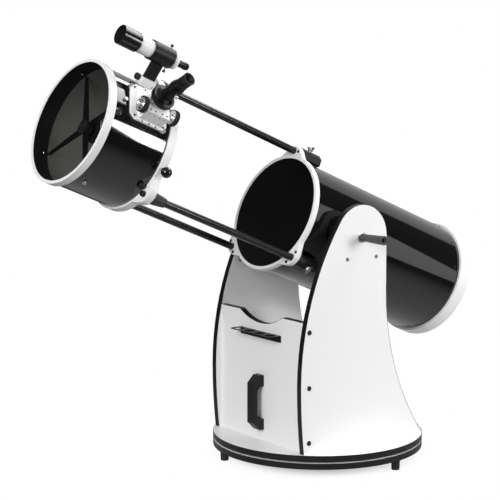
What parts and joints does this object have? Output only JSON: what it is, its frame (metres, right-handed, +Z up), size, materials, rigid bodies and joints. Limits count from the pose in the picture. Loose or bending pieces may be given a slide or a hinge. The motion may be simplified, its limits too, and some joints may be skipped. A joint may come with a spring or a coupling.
{
  "type": "reflector telescope",
  "caption": "Large collapsible reflector telescope on a rocker-box turntable, with a focuser, a finder scope and side tension handles.",
  "frame": {"origin": "on the ground under the azimuth axis, in the plane the three feet stand on", "axes": "+Z up along the azimuth axis, the tube points towards -Y and up, +X towards the focuser side"},
  "size_m": [0.6739, 1.5198, 1.3676],
  "materials": {
    "white_melamine": "white melamine-faced board, satin",
    "black_edging": "black PVC edge band",
    "black_plastic": "moulded black plastic",
    "white_plastic": "white low-friction plastic",
    "gloss_black_steel": "gloss black paint",
    "white_casting": "white powder-coated casting",
    "black_anodised": "satin black anodised aluminium",
    "bright_steel": "plated steel",
    "polished_aluminium": "machined aluminium",
    "rubber_black": "black rubber",
    "mirror_coating": "aluminised glass",
    "lens_glass": "coated lens"
  },
  "bodies": {
    "ground": {"ground_board": "white_melamine", "feet": "rubber_black", "glide_pads": "white_plastic", "azimuth_bolt": "bright_steel"},
    "rocker": {"rocker_board": "white_melamine", "azimuth_bushing": "white_plastic", "side_panel_right": "white_melamine", "side_panel_left": "white_melamine", "front_panel": "white_melamine", "panel_edges": "black_edging", "panel_screws": "black_plastic", "altitude_posts": "white_plastic", "carry_handle": "black_plastic", "fittings_screws": "bright_steel", "eyepiece_rack": "black_anodised"},
    "lower_assembly": {"altitude_hubs": "black_plastic", "lower_tube": "gloss_black_steel", "lower_front_ring": "white_casting", "lower_ring_screws": "black_anodised", "rod_clamps": "black_plastic", "rear_casting": "white_casting", "mirror_cell": "black_anodised", "primary_mirror": "mirror_coating", "collimation_springs": "bright_steel"},
    "right_handle": {"tension_handle_right": "black_plastic"},
    "left_handle": {"tension_handle_left": "black_plastic"},
    "lock_top": {"rod_lock_top": "bright_steel"},
    "lock_right": {"rod_lock_right": "bright_steel"},
    "lock_left": {"rod_lock_left": "bright_steel"},
    "collimator_a": {"collimation_knob_a": "black_plastic"},
    "collimator_b": {"collimation_knob_b": "black_plastic"},
    "collimator_c": {"collimation_knob_c": "black_plastic"},
    "upper_assembly": {"truss_rods": "black_anodised", "rod_collars": "black_plastic", "upper_rear_ring": "white_casting", "upper_ring_knobs": "black_plastic", "upper_tube": "gloss_black_steel", "upper_front_ring": "white_casting", "pull_knob": "black_plastic", "spider": "black_anodised", "spider_screws": "bright_steel", "diagonal_holder": "black_anodised", "diagonal_mirror": "mirror_coating", "focuser_saddle": "black_anodised", "focuser_body": "white_casting", "focuser_screws": "black_anodised", "finder_shoe": "white_casting"},
    "focus_tube": {"drawtube": "polished_aluminium", "eyepiece_adapter": "black_anodised"},
    "focus_shaft": {"focus_knobs": "polished_aluminium"},
    "focus_lock": {"drawtube_lock": "bright_steel"},
    "ocular": {"eyepiece": "black_anodised"},
    "ocular_screw": {"eyepiece_set_screw": "bright_steel"},
    "shoe_screw": {"finder_clamp": "black_plastic"},
    "finder": {"finder_bracket": "black_anodised", "finder_screws": "bright_steel", "finder_tube": "white_casting", "finder_hood": "black_anodised", "finder_lens": "lens_glass", "finder_eyepiece": "black_anodised"}
  },
  "joints": [
    {"name": "azimuth_turn", "type": "hinge", "parent": "ground", "child": "rocker", "pos_m": [0, 0, 0.058], "axis": [0, 0, 1], "continuous": true},
    {"name": "altitude_tilt", "type": "hinge", "parent": "rocker", "child": "lower_assembly", "pos_m": [0, -0.015, 0.726], "axis": [-1, 0, 0], "range_deg": [-22.9, 67.1]},
    {"name": "truss_collapse", "type": "slide", "parent": "lower_assembly", "child": "upper_assembly", "axis": [0, 0.9212, -0.3891], "range_m": [0, 0.49]},
    {"name": "rod_lock_top_turn", "type": "hinge", "parent": "lower_assembly", "child": "lock_top", "pos_m": [0, -0.04326, 0.95722], "axis": [0, 0.3891, 0.9212], "range_deg": [0, 300]},
    {"name": "rod_lock_right_turn", "type": "hinge", "parent": "lower_assembly", "child": "lock_right", "pos_m": [0.15337, -0.17301, 0.65004], "axis": [0.7593, -0.2532, -0.5995], "range_deg": [0, 300]},
    {"name": "rod_lock_left_turn", "type": "hinge", "parent": "lower_assembly", "child": "lock_left", "pos_m": [-0.15337, -0.17301, 0.65004], "axis": [-0.7593, -0.2532, -0.5995], "range_deg": [0, 300]},
    {"name": "collimation_a_turn", "type": "hinge", "parent": "lower_assembly", "child": "collimator_a", "pos_m": [0.10392, 0.49658, 0.57504], "axis": [0, -0.9212, 0.3891], "range_deg": [-180, 180]},
    {"name": "collimation_b_turn", "type": "hinge", "parent": "lower_assembly", "child": "collimator_b", "pos_m": [-0.10392, 0.49658, 0.57504], "axis": [0, -0.9212, 0.3891], "range_deg": [-180, 180]},
    {"name": "collimation_c_turn", "type": "hinge", "parent": "lower_assembly", "child": "collimator_c", "pos_m": [0, 0.42653, 0.40922], "axis": [0, -0.9212, 0.3891], "range_deg": [-180, 180]},
    {"name": "tension_right_turn", "type": "hinge", "parent": "lower_assembly", "child": "right_handle", "pos_m": [0.2313, -0.015, 0.726], "axis": [1, 0, 0], "range_deg": [-90, 270]},
    {"name": "tension_left_turn", "type": "hinge", "parent": "lower_assembly", "child": "left_handle", "pos_m": [-0.2313, -0.015, 0.726], "axis": [-1, 0, 0], "range_deg": [-90, 270]},
    {"name": "drawtube_travel", "type": "slide", "parent": "upper_assembly", "child": "focus_tube", "axis": [0.8616, 0.1975, 0.4675], "range_m": [-0.006, 0.03]},
    {"name": "focus_knob_turn", "type": "hinge", "parent": "upper_assembly", "child": "focus_shaft", "pos_m": [0.21431, -0.74344, 1.13068], "axis": [0, -0.9212, 0.3891], "range_deg": [-560, 110]},
    {"name": "drawtube_lock_turn", "type": "hinge", "parent": "upper_assembly", "child": "focus_lock", "pos_m": [0.15892, -0.72601, 1.17836], "axis": [-0.5075, 0.3353, 0.7937], "range_deg": [0, 270]},
    {"name": "eyepiece_removal", "type": "slide", "parent": "focus_tube", "child": "ocular", "axis": [0.8616, 0.1975, 0.4675], "range_m": [0, 0.045]},
    {"name": "eyepiece_screw_turn", "type": "hinge", "parent": "focus_tube", "child": "ocular_screw", "pos_m": [0.27898, -0.72559, 1.17936], "axis": [0.5075, -0.3353, -0.7937], "range_deg": [0, 270]},
    {"name": "finder_removal", "type": "slide", "parent": "upper_assembly", "child": "finder", "axis": [0, 0.9212, -0.3891], "range_m": [0, 0.05]},
    {"name": "finder_clamp_turn", "type": "hinge", "parent": "upper_assembly", "child": "shoe_screw", "pos_m": [0.06738, -0.71308, 1.22184], "axis": [0, -0.9212, 0.3891], "range_deg": [0, 270]}
  ],
  "couplings": [
    {"joint": "focus_knob_turn", "follows": "drawtube_travel", "rad_per_m": -303.03}
  ]
}
